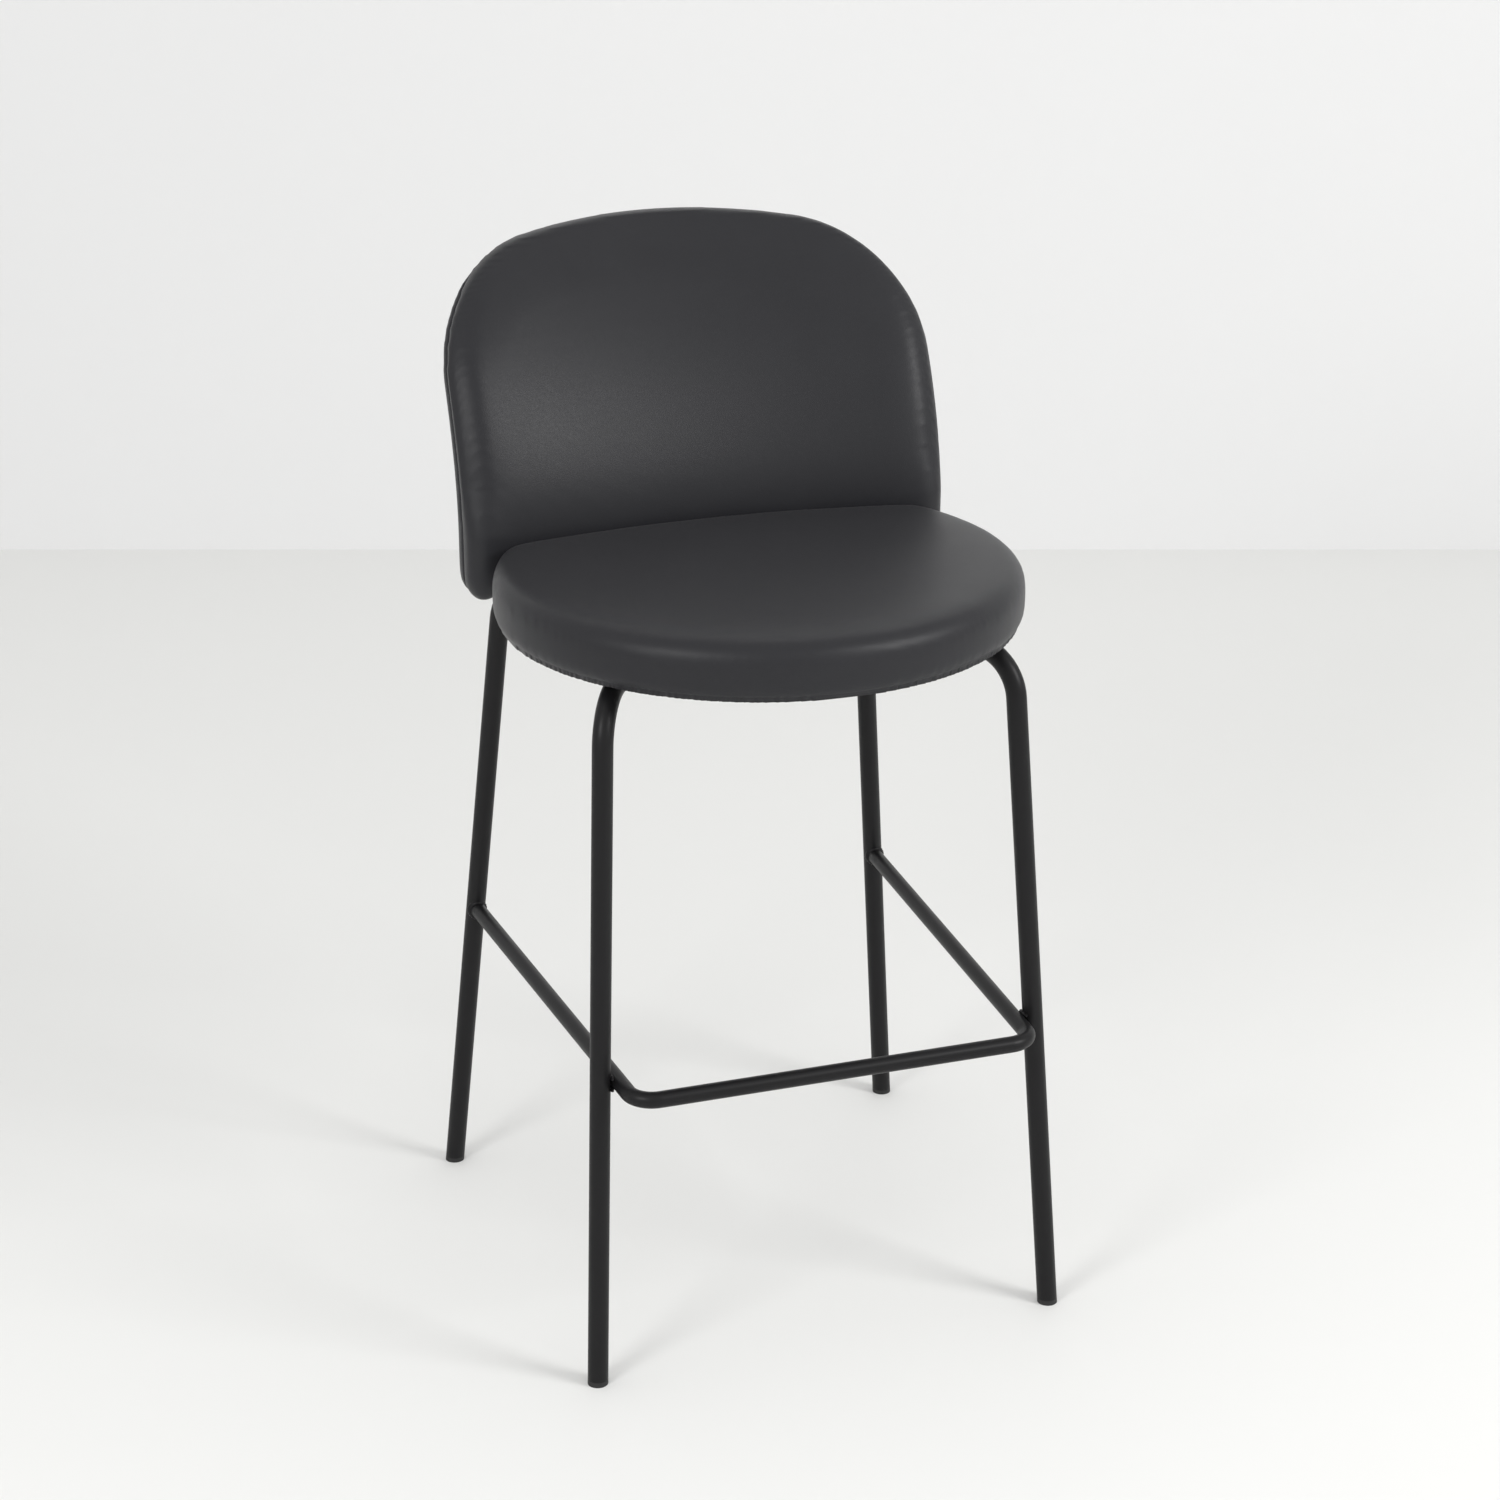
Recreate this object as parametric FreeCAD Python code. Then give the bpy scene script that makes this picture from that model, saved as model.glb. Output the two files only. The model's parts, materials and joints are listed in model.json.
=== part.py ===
import FreeCAD, Part
import math
import os

# Upholstered bar stool with a footrest, in millimetres.
# +Z is up, the sitter faces -Y, the origin is on the floor under the middle of the overall box.

os.makedirs("parts", exist_ok=True)
V = FreeCAD.Vector
UP = V(0, 0, 1)

# ---- overall sizes
SEAT_TOP = 748.0
BACK_TOP = 1023.0
SEAT_RADIUS = 258.0
SEAT_CENTRE_Y = -48.0

# ---- leg frames: one steel tube per side, front leg, run under the seat, rear leg
LEG_DIAMETER = 20.0
LEG_WALL = 1.5
FOOT_DEPTH = 494.4
FEET_MIDDLE_Y = -7.0
FRONT_FOOT_SPREAD = 473.0
REAR_FOOT_SPREAD = 500.0
FRONT_LEAN_IN = 0.0481
FRONT_LEAN_BACK = 0.0809
REAR_LEAN_IN = 0.0827
REAR_LEAN_FORWARD = 0.0872
RUN_HEIGHT = 677.0
RUN_WAIST = 168.0
LEG_TOP_BEND = 48.0
WAIST_BEND = 60.0

# ---- foot glides pressed into the open tube ends
GLIDE_THICKNESS = 5.0
GLIDE_PLUG_LENGTH = 22.0
GLIDE_PLUG_CLEARANCE = 0.1

# ---- footrest tube
FOOTREST_DIAMETER = 16.0
FOOTREST_WALL = 1.2
FOOTREST_HEIGHT = 307.0
FOOTREST_REACH = 49.5
FOOTREST_BEND = 24.0

# ---- flat bars welded across the two leg frames
BAR_WIDTH = 30.0
BAR_THICKNESS = 4.0
BAR_OVERHANG = 12.0
FRONT_BAR_Y = -102.0
REAR_BAR_Y = 8.0
SEAT_BOLT_X = 60.0

# ---- screws, washers and pronged nuts, all M6
BOLT_DIAMETER = 6.0
BOLT_HOLE_CLEARANCE = 0.3
HEAD_DIAMETER = 11.0
HEAD_THICKNESS = 3.3
SOCKET_ACROSS = 4.0
SOCKET_DEPTH = 2.0
SOCKET_SIDES = 6
WASHER_DIAMETER = 12.0
WASHER_THICKNESS = 1.6
NUT_FLANGE_DIAMETER = 19.0
NUT_FLANGE_THICKNESS = 1.5
NUT_BARREL_DIAMETER = 7.8
NUT_BARREL_LENGTH = 9.0
THREAD_CLEARANCE = 0.1
FOAM_RELIEF = 0.3
HOLE_OVERRUN = 2.0

# ---- seat
COVER_THICKNESS = 1.2
CLOTH_THICKNESS = 0.6
BOARD_THICKNESS = 12.0
SEAT_TOP_ROLL = 20.0
SEAT_BOTTOM_ROLL = 13.0
SEAT_CORNER_RADIUS = 34.0
SEAT_BACK_GAP = 1.0
SEAT_BOARD_INSET = 26.0
COVER_TURN_UNDER = 36.0
CLOTH_INSET = 29.0

# ---- back
BACK_DEPTH = 66.0
BACK_HALF_WIDTH = 252.5
BACK_BOTTOM = 693.0
BACK_TOP_RADIUS = 1000.0
BACK_SHOULDER_RADIUS = 125.0
BACK_CORNER_RADIUS = 24.0
BACK_RIM_ROUND = 21.0
BACK_FRONT_Y = 114.0
BACK_LEAN_START = 750.0
BACK_LEAN_HEIGHT = 250.0
BACK_LEAN = 131.0
BACK_LEAN_POWER = 1.6
BACK_WRAP = 34.0
BACK_WRAP_GAIN = 26.0
BACK_WRAP_POWER = 1.2
BACK_BOARD_FRONT = 27.0
BACK_BOARD_INSET = 16.0
BACK_SEAM = 41.0

# ---- flat steel brackets that carry the back
BRACKET_WIDTH = 30.0
BRACKET_THICKNESS = 5.0
BRACKET_X = 45.0
BRACKET_FRONT_Y = 29.0
BRACKET_TOP = 757.0
BRACKET_BEND = 10.0
BRACKET_BOARD_GAP = 0.2
BRACKET_SEAT_BOLTS_Y = (43.0, 73.0)
BRACKET_BACK_BOLTS_Z = (721.0, 741.0)
SLOT_CLEARANCE = 0.5

# ---- how finely the curved sheets are drawn and how edges are picked
SHEET_COLUMNS = 9
SHEET_ROWS = 13
SHEET_MARGIN = 38.0
REAR_EDGE_STEPS = 8
NEARLY_ALONG = 0.95
TOUCH = 0.01
FAR = 1500.0

# ---- heights and radii that follow from the sizes above
leg_radius = LEG_DIAMETER / 2
rest_radius = FOOTREST_DIAMETER / 2
bar_bottom = RUN_HEIGHT + leg_radius
bar_top = bar_bottom + BAR_THICKNESS
seat_bottom = bar_top + CLOTH_THICKNESS
board_bottom = seat_bottom + COVER_THICKNESS
board_top = board_bottom + BOARD_THICKNESS


def save(shape, name):
    shape.exportStep("parts/" + name + ".step")


def front_leg_at(side, height):
    x = FRONT_FOOT_SPREAD / 2 - FRONT_LEAN_IN * height
    y = FEET_MIDDLE_Y - FOOT_DEPTH / 2 + FRONT_LEAN_BACK * height
    return V(side * x, y, height)


def rear_leg_at(side, height):
    x = REAR_FOOT_SPREAD / 2 - REAR_LEAN_IN * height
    y = FEET_MIDDLE_Y + FOOT_DEPTH / 2 - REAR_LEAN_FORWARD * height
    return V(side * x, y, height)


def bent_path(corners, radii):
    """Straight runs joined by tangent arcs at the inner corners."""
    edges = []
    start = corners[0]
    for before, corner, after, radius in zip(corners, corners[1:], corners[2:], radii):
        toward = (before - corner).normalize()
        away = (after - corner).normalize()
        half_angle = toward.getAngle(away) / 2
        setback = radius / math.tan(half_angle)
        bisector = (toward + away).normalize()
        centre = corner + bisector * (radius / math.sin(half_angle))
        entry = corner + toward * setback
        leave = corner + away * setback
        middle = centre - bisector * radius
        edges.append(Part.makeLine(start, entry))
        edges.append(Part.Arc(entry, middle, leave).toShape())
        start = leave
    edges.append(Part.makeLine(start, corners[-1]))
    return Part.Wire(edges)


def middle_direction(edge):
    return edge.tangentAt((edge.FirstParameter + edge.LastParameter) / 2)


def swept_rod(path, radius):
    first = path.OrderedEdges[0]
    direction = first.tangentAt(first.FirstParameter)
    start = first.valueAt(first.FirstParameter)
    ring = Part.Wire([Part.makeCircle(radius, start, direction)])
    return path.makePipeShell([ring], True, False)


def swept_tube(path, radius, wall):
    return swept_rod(path, radius).cut(swept_rod(path, radius - wall))


def slab_between(low, high):
    return Part.makeBox(2 * FAR, 2 * FAR, high - low, V(-FAR, -FAR, low))


# ---------------------------------------------------------------- leg frames
def leg_frame_path(side, foot_height):
    corners = [
        front_leg_at(side, foot_height),
        front_leg_at(side, RUN_HEIGHT),
        V(side * RUN_WAIST / 2, FEET_MIDDLE_Y, RUN_HEIGHT),
        rear_leg_at(side, RUN_HEIGHT),
        rear_leg_at(side, foot_height),
    ]
    return bent_path(corners, [LEG_TOP_BEND, WAIST_BEND, LEG_TOP_BEND])


def leg_frame(side):
    tube = swept_tube(leg_frame_path(side, -LEG_DIAMETER), leg_radius, LEG_WALL)
    return tube.common(slab_between(GLIDE_THICKNESS, FAR))


def glide(leg_at, side):
    below = leg_at(side, -LEG_DIAMETER)
    along = (leg_at(side, FAR) - below).normalize()
    pad = Part.makeCylinder(leg_radius, 3 * LEG_DIAMETER, below, along)
    pad = pad.common(slab_between(0, GLIDE_THICKNESS))
    plug_radius = leg_radius - LEG_WALL - GLIDE_PLUG_CLEARANCE
    plug = Part.makeCylinder(plug_radius, 4 * LEG_DIAMETER, below, along)
    plug = plug.common(slab_between(GLIDE_THICKNESS, GLIDE_THICKNESS + GLIDE_PLUG_LENGTH))
    return pad.fuse(plug).removeSplitter()


# ---------------------------------------------------------------- footrest
def rail_touch_x():
    """Sideways place of the rail axis where it just touches the front leg."""
    leg = front_leg_at(1, FOOTREST_HEIGHT)
    leg_line = front_leg_at(1, FOOTREST_HEIGHT + 1) - leg
    rear = rear_leg_at(1, FOOTREST_HEIGHT)
    rail_line = rear - V(leg.x - leg_radius - rest_radius, leg.y, leg.z)
    normal = leg_line.cross(rail_line).normalize()
    return leg.x - (leg_radius + rest_radius) / abs(normal.x)


def footrest():
    front_leg = front_leg_at(1, FOOTREST_HEIGHT)
    rear_leg = rear_leg_at(1, FOOTREST_HEIGHT)
    touch = V(rail_touch_x(), front_leg.y, FOOTREST_HEIGHT)
    line = touch - rear_leg
    front_y = front_leg.y - FOOTREST_REACH
    corner = rear_leg + line * ((front_y - rear_leg.y) / line.y)
    corners = [
        V(-rear_leg.x, rear_leg.y, rear_leg.z),
        V(-corner.x, corner.y, corner.z),
        corner,
        rear_leg,
    ]
    path = bent_path(corners, [FOOTREST_BEND, FOOTREST_BEND])
    rest = swept_tube(path, rest_radius, FOOTREST_WALL)
    for side in (-1, 1):
        low = rear_leg_at(side, FOOTREST_HEIGHT - 3 * LEG_DIAMETER)
        high = rear_leg_at(side, FOOTREST_HEIGHT + 3 * LEG_DIAMETER)
        leg = Part.makeCylinder(leg_radius, (high - low).Length, low, high - low)
        rest = rest.cut(leg)
    return max(rest.Solids, key=lambda piece: piece.Volume)


# ---------------------------------------------------------------- frame bars
def tube_x_at(y):
    """Outer reach of the run under the seat at a given depth."""
    top = front_leg_at(1, RUN_HEIGHT) if y < FEET_MIDDLE_Y else rear_leg_at(1, RUN_HEIGHT)
    share = (y - FEET_MIDDLE_Y) / (top.y - FEET_MIDDLE_Y)
    return RUN_WAIST / 2 + (top.x - RUN_WAIST / 2) * share


def mount_bar(y):
    half = tube_x_at(y) + BAR_OVERHANG
    bar = Part.makeBox(2 * half, BAR_WIDTH, BAR_THICKNESS, V(-half, y - BAR_WIDTH / 2, bar_bottom))
    for side in (-1, 1):
        bar = bar.cut(bolt_hole(V(side * SEAT_BOLT_X, y, bar_bottom), UP, BAR_THICKNESS))
    return bar


# ---------------------------------------------------------------- fasteners
def bolt_hole(start, direction, length):
    radius = BOLT_DIAMETER / 2 + BOLT_HOLE_CLEARANCE
    return Part.makeCylinder(radius, length, start, direction)


def bolt(seating, direction, grip):
    """Button-head screw whose head rests on 'seating' and whose shank runs along 'direction'."""
    shank = Part.makeCylinder(BOLT_DIAMETER / 2, grip, seating, direction)
    head_start = seating - direction * HEAD_THICKNESS
    head = Part.makeCylinder(HEAD_DIAMETER / 2, HEAD_THICKNESS, head_start, direction)
    rim = [edge for edge in head.Edges if edge.CenterOfMass.isEqual(head_start, TOUCH)]
    head = head.makeFillet(HEAD_THICKNESS / 2, rim)
    corner_radius = SOCKET_ACROSS / 2 / math.cos(math.pi / SOCKET_SIDES)
    across = V(1, 0, 0)
    points = []
    for step in range(SOCKET_SIDES + 1):
        turn = FreeCAD.Rotation(direction, 360.0 * step / SOCKET_SIDES)
        points.append(head_start + turn.multVec(across) * corner_radius)
    socket = Part.Face(Part.makePolygon(points)).extrude(direction * SOCKET_DEPTH)
    return head.cut(socket).fuse(shank).removeSplitter()


def washer(start, direction):
    disc = Part.makeCylinder(WASHER_DIAMETER / 2, WASHER_THICKNESS, start, direction)
    return disc.cut(bolt_hole(start, direction, WASHER_THICKNESS))


def pronged_nut(flange_face, direction):
    """Flange rests on 'flange_face'; the barrel reaches back into the board against 'direction'."""
    flange = Part.makeCylinder(NUT_FLANGE_DIAMETER / 2, NUT_FLANGE_THICKNESS, flange_face, direction)
    barrel_start = flange_face - direction * NUT_BARREL_LENGTH
    barrel = Part.makeCylinder(NUT_BARREL_DIAMETER / 2, NUT_BARREL_LENGTH, barrel_start, direction)
    bore_radius = BOLT_DIAMETER / 2 + THREAD_CLEARANCE
    bore_length = NUT_BARREL_LENGTH + NUT_FLANGE_THICKNESS
    bore = Part.makeCylinder(bore_radius, bore_length, barrel_start, direction)
    return flange.fuse(barrel).removeSplitter().cut(bore)


def nut_hole(board_face, direction):
    """Hole for the barrel, run past both faces of the board."""
    start = board_face - direction * (BOARD_THICKNESS + HOLE_OVERRUN)
    radius = NUT_BARREL_DIAMETER / 2
    return Part.makeCylinder(radius, BOARD_THICKNESS + 2 * HOLE_OVERRUN, start, direction)


def nut_pocket(flange_face, direction):
    radius = NUT_FLANGE_DIAMETER / 2 + FOAM_RELIEF
    depth = HOLE_OVERRUN + NUT_FLANGE_THICKNESS + FOAM_RELIEF
    return Part.makeCylinder(radius, depth, flange_face - direction * HOLE_OVERRUN, direction)


def head_pocket(seating, direction):
    depth = HEAD_THICKNESS + FOAM_RELIEF
    radius = HEAD_DIAMETER / 2 + FOAM_RELIEF
    return Part.makeCylinder(radius, depth, seating - direction * depth, direction)


# ---------------------------------------------------------------- back form
def back_front_y(x, z):
    """Depth of the front surface of the back at a place across and up it."""
    rise = max(0.0, (z - BACK_LEAN_START) / BACK_LEAN_HEIGHT)
    wrap = BACK_WRAP + BACK_WRAP_GAIN * rise ** BACK_WRAP_POWER
    across = x / BACK_HALF_WIDTH
    return BACK_FRONT_Y + BACK_LEAN * rise ** BACK_LEAN_POWER - wrap * across * across


def back_surface(offset):
    """Doubly curved sheet parallel, in depth, to the front of the back."""
    half = BACK_HALF_WIDTH + SHEET_MARGIN
    low = BACK_BOTTOM - SHEET_MARGIN
    high = BACK_TOP + SHEET_MARGIN
    grid = []
    for column in range(SHEET_COLUMNS):
        x = -half + 2 * half * column / (SHEET_COLUMNS - 1)
        line = []
        for row in range(SHEET_ROWS):
            z = low + (high - low) * row / (SHEET_ROWS - 1)
            line.append(V(x, back_front_y(x, z) + offset, z))
        grid.append(line)
    sheet = Part.BSplineSurface()
    sheet.interpolate(grid)
    return sheet.toShape()


def back_layer(front_offset, rear_offset):
    return back_surface(front_offset).extrude(V(0, rear_offset - front_offset, 0))


def arc_about(centre, radius, start, end):
    """Arc in the front view, its angles counted in degrees from +X towards +Z."""
    points = []
    for angle in (start, (start + end) / 2, end):
        turn = math.radians(angle)
        points.append(V(centre.x + radius * math.cos(turn), 0, centre.z + radius * math.sin(turn)))
    return Part.Arc(*points).toShape()


def back_outline(inset):
    """Front view of the back: flat top arc, round shoulders, straight sides, rounded lower corners."""
    half = BACK_HALF_WIDTH - inset
    bottom = BACK_BOTTOM + inset
    corner = BACK_CORNER_RADIUS - inset
    shoulder = BACK_SHOULDER_RADIUS - inset
    top_radius = BACK_TOP_RADIUS - inset
    top_centre = V(0, 0, BACK_TOP - BACK_TOP_RADIUS)
    shoulder_x = BACK_HALF_WIDTH - BACK_SHOULDER_RADIUS
    drop = math.sqrt((BACK_TOP_RADIUS - BACK_SHOULDER_RADIUS) ** 2 - shoulder_x ** 2)
    shoulder_z = top_centre.z + drop
    join = math.degrees(math.atan2(drop, shoulder_x))
    low = bottom + corner
    edges = [
        Part.makeLine(V(half, 0, low), V(half, 0, shoulder_z)),
        arc_about(V(shoulder_x, 0, shoulder_z), shoulder, 0, join),
        arc_about(top_centre, top_radius, join, 180 - join),
        arc_about(V(-shoulder_x, 0, shoulder_z), shoulder, 180 - join, 180),
        Part.makeLine(V(-half, 0, shoulder_z), V(-half, 0, low)),
        arc_about(V(corner - half, 0, low), corner, 180, 270),
        Part.makeLine(V(corner - half, 0, bottom), V(half - corner, 0, bottom)),
        arc_about(V(half - corner, 0, low), corner, 270, 360),
    ]
    return Part.Face(Part.Wire(edges))


def back_prism(inset):
    face = back_outline(inset)
    face.translate(V(0, -FAR / 2, 0))
    return face.extrude(V(0, FAR, 0))


def back_body(inset):
    """Closed form of the back, drawn in on every side by 'inset'."""
    body = back_prism(inset).common(back_layer(inset, BACK_DEPTH - inset))
    body = body.Solids[0]
    rim = [edge for edge in body.Edges if abs(middle_direction(edge).y) < NEARLY_ALONG]
    return body.makeFillet(BACK_RIM_ROUND - inset, rim)


# ---------------------------------------------------------------- seat form
def seat_outline(inset):
    """Plan of the seat: round front and sides, rear edge following the back."""
    radius = SEAT_RADIUS - inset
    centre = V(0, SEAT_CENTRE_Y, 0)
    disc = Part.Face(Part.Wire([Part.makeCircle(radius, centre, UP)]))
    reach = BACK_HALF_WIDTH + SHEET_MARGIN
    rear = []
    for step in range(REAR_EDGE_STEPS + 1):
        x = -reach + 2 * reach * step / REAR_EDGE_STEPS
        rear.append(V(x, back_front_y(x, BACK_BOTTOM) - SEAT_BACK_GAP - inset, 0))
    curve = Part.BSplineCurve()
    curve.interpolate(rear)
    front_y = SEAT_CENTRE_Y - 2 * SEAT_RADIUS
    corners = [rear[-1], V(reach, front_y, 0), V(-reach, front_y, 0), rear[0]]
    borders = [Part.makeLine(a, b) for a, b in zip(corners, corners[1:])]
    region = Part.Face(Part.Wire([curve.toShape()] + borders))
    return disc.common(region).Faces[0]


def seat_prism(inset, low, high):
    face = seat_outline(inset)
    face.translate(V(0, 0, low))
    prism = face.extrude(V(0, 0, high - low))
    corners = []
    for edge in prism.Edges:
        upright = abs(middle_direction(edge).z) > NEARLY_ALONG
        if upright and edge.CenterOfMass.y > SEAT_CENTRE_Y + SEAT_RADIUS / 3:
            corners.append(edge)
    return prism.makeFillet(SEAT_CORNER_RADIUS - min(inset, SEAT_CORNER_RADIUS / 2), corners)


def seat_body(inset):
    body = seat_prism(inset, seat_bottom + inset, SEAT_TOP - inset)
    top = [edge for edge in body.Edges if edge.BoundBox.ZMin > SEAT_TOP - inset - TOUCH]
    body = body.makeFillet(SEAT_TOP_ROLL - inset, top)
    bottom = [edge for edge in body.Edges if edge.BoundBox.ZMax < seat_bottom + inset + TOUCH]
    return body.makeFillet(SEAT_BOTTOM_ROLL - inset, bottom)


# ---------------------------------------------------------------- places of the fasteners
sides = (-1, 1)
seat_bolt_places = [V(s * SEAT_BOLT_X, y, bar_bottom) for y in (FRONT_BAR_Y, REAR_BAR_Y) for s in sides]
bracket_bottom = bar_top - BRACKET_THICKNESS
bracket_bolt_places = [V(s * BRACKET_X, y, bracket_bottom) for y in BRACKET_SEAT_BOLTS_Y for s in sides]
bracket_edge_x = BRACKET_X + BRACKET_WIDTH / 2
back_board_y = back_front_y(bracket_edge_x, BACK_BOTTOM) + BACK_BOARD_FRONT
bracket_rear_y = back_board_y - BRACKET_BOARD_GAP
bracket_face_y = bracket_rear_y - BRACKET_THICKNESS
REARWARD = V(0, 1, 0)
back_bolt_places = [V(s * BRACKET_X, bracket_face_y, z) for z in BRACKET_BACK_BOLTS_Z for s in sides]
board_rear = BACK_BOARD_FRONT + BOARD_THICKNESS
nut_edge_x = BRACKET_X - NUT_FLANGE_DIAMETER / 2
back_nut_y = back_front_y(nut_edge_x, BACK_BOTTOM) + board_rear
back_nut_places = [V(p.x, back_nut_y, p.z) for p in back_bolt_places]
seat_nut_places = [V(p.x, p.y, board_top) for p in seat_bolt_places]
bracket_nut_places = [V(p.x, p.y, board_top) for p in bracket_bolt_places]


def back_bracket(side, growth):
    """Flat steel bent to an angle; 'growth' swells it for the slots it passes through."""
    inner = BRACKET_BEND - BRACKET_THICKNESS - growth
    outer = BRACKET_BEND + growth
    front = BRACKET_FRONT_Y - growth
    rear = bracket_rear_y + growth
    face = bracket_face_y - growth
    low = bracket_bottom - growth
    top = BRACKET_TOP + growth
    upper = bar_top + growth
    centre_y = rear - outer
    centre_z = low + outer
    turn = math.sqrt(0.5)
    profile = [
        Part.makeLine(V(0, front, low), V(0, centre_y, low)),
        Part.Arc(
            V(0, centre_y, low),
            V(0, centre_y + outer * turn, centre_z - outer * turn),
            V(0, rear, centre_z),
        ).toShape(),
        Part.makeLine(V(0, rear, centre_z), V(0, rear, top)),
        Part.makeLine(V(0, rear, top), V(0, face, top)),
        Part.makeLine(V(0, face, top), V(0, face, centre_z)),
        Part.Arc(
            V(0, face, centre_z),
            V(0, centre_y + inner * turn, centre_z - inner * turn),
            V(0, centre_y, upper),
        ).toShape(),
        Part.makeLine(V(0, centre_y, upper), V(0, front, upper)),
        Part.makeLine(V(0, front, upper), V(0, front, low)),
    ]
    half = BRACKET_WIDTH / 2 + growth
    flat = Part.Face(Part.Wire(profile))
    flat.translate(V(side * BRACKET_X - half, 0, 0))
    strip = flat.extrude(V(2 * half, 0, 0))
    if growth > 0:
        return strip
    for y in BRACKET_SEAT_BOLTS_Y:
        strip = strip.cut(bolt_hole(V(side * BRACKET_X, y, bracket_bottom), UP, BRACKET_THICKNESS))
    for z in BRACKET_BACK_BOLTS_Z:
        strip = strip.cut(bolt_hole(V(side * BRACKET_X, bracket_face_y, z), REARWARD, BRACKET_THICKNESS))
    return strip


# ================================================================ the pieces
# ---- steel frame
save(leg_frame(-1), "left_leg_frame")
save(leg_frame(1), "right_leg_frame")
save(mount_bar(FRONT_BAR_Y), "front_mount_bar")
save(mount_bar(REAR_BAR_Y), "rear_mount_bar")
save(footrest(), "footrest")
save(glide(front_leg_at, -1), "front_left_glide")
save(glide(front_leg_at, 1), "front_right_glide")
save(glide(rear_leg_at, -1), "rear_left_glide")
save(glide(rear_leg_at, 1), "rear_right_glide")
save(back_bracket(-1, 0), "left_back_bracket")
save(back_bracket(1, 0), "right_back_bracket")

# ---- fasteners
bar_grip = board_top - bar_bottom + WASHER_THICKNESS
seat_bolts = [bolt(p - UP * WASHER_THICKNESS, UP, bar_grip) for p in seat_bolt_places]
save(Part.Compound(seat_bolts), "seat_bolts")
save(Part.Compound([washer(p - UP * WASHER_THICKNESS, UP) for p in seat_bolt_places]), "seat_washers")
save(Part.Compound([pronged_nut(p, UP) for p in seat_nut_places]), "seat_pronged_nuts")
bracket_grip = board_top - bracket_bottom
bracket_bolts = [bolt(p, UP, bracket_grip) for p in bracket_bolt_places]
save(Part.Compound(bracket_bolts), "bracket_bolts")
save(Part.Compound([pronged_nut(p, UP) for p in bracket_nut_places]), "bracket_pronged_nuts")
back_grip = back_nut_y - bracket_face_y
back_bolts = [bolt(p, REARWARD, back_grip) for p in back_bolt_places]
save(Part.Compound(back_bolts), "back_bolts")
save(Part.Compound([pronged_nut(p, REARWARD) for p in back_nut_places]), "back_pronged_nuts")

# ---- seat
seat_board = seat_prism(SEAT_BOARD_INSET, board_bottom, board_top)
for place in seat_nut_places + bracket_nut_places:
    seat_board = seat_board.cut(nut_hole(place, UP))
save(seat_board, "seat_board")

seat_inside = seat_body(COVER_THICKNESS)
seat_foam = seat_inside.cut(seat_prism(SEAT_BOARD_INSET, 0, board_top))
for place in seat_nut_places + bracket_nut_places:
    seat_foam = seat_foam.cut(nut_pocket(place, UP))
save(seat_foam, "seat_foam")

seat_cover = seat_body(0).cut(seat_inside)
seat_cover = seat_cover.cut(seat_prism(COVER_TURN_UNDER, 0, board_top))
save(seat_cover, "seat_cover")

cloth = seat_prism(CLOTH_INSET, bar_top, seat_bottom)
for place in seat_bolt_places + bracket_bolt_places:
    cloth = cloth.cut(bolt_hole(V(place.x, place.y, bar_top), UP, CLOTH_THICKNESS))
save(cloth, "seat_underside_cloth")

# ---- back
back_board = back_prism(BACK_BOARD_INSET)
back_board = back_board.common(back_layer(BACK_BOARD_FRONT, BACK_BOARD_FRONT + BOARD_THICKNESS))
board_blank = back_board
for place in back_nut_places:
    back_board = back_board.cut(nut_hole(place, REARWARD))
save(back_board, "back_board")

slots = [back_bracket(side, SLOT_CLEARANCE) for side in sides]
back_inside = back_body(COVER_THICKNESS)
front_foam = back_inside.common(back_layer(0, board_rear)).cut(board_blank)
rear_foam = back_inside.common(back_layer(board_rear, BACK_DEPTH))
for slot in slots:
    front_foam = front_foam.cut(slot)
for place in back_bolt_places:
    front_foam = front_foam.cut(head_pocket(place, REARWARD))
    front_foam = front_foam.cut(bolt_hole(place, REARWARD, back_grip))
for place in back_nut_places:
    rear_foam = rear_foam.cut(nut_pocket(place, REARWARD))
save(front_foam, "back_front_foam")
save(rear_foam, "back_rear_foam")

back_skin = back_body(0).cut(back_inside)
front_cover = back_skin.common(back_layer(-FAR / 10, BACK_SEAM))
rear_cover = back_skin.common(back_layer(BACK_SEAM, FAR / 10))
for slot in slots:
    front_cover = front_cover.cut(slot)
save(front_cover, "back_front_cover")
save(rear_cover, "back_rear_cover")
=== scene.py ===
import json
import math

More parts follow.
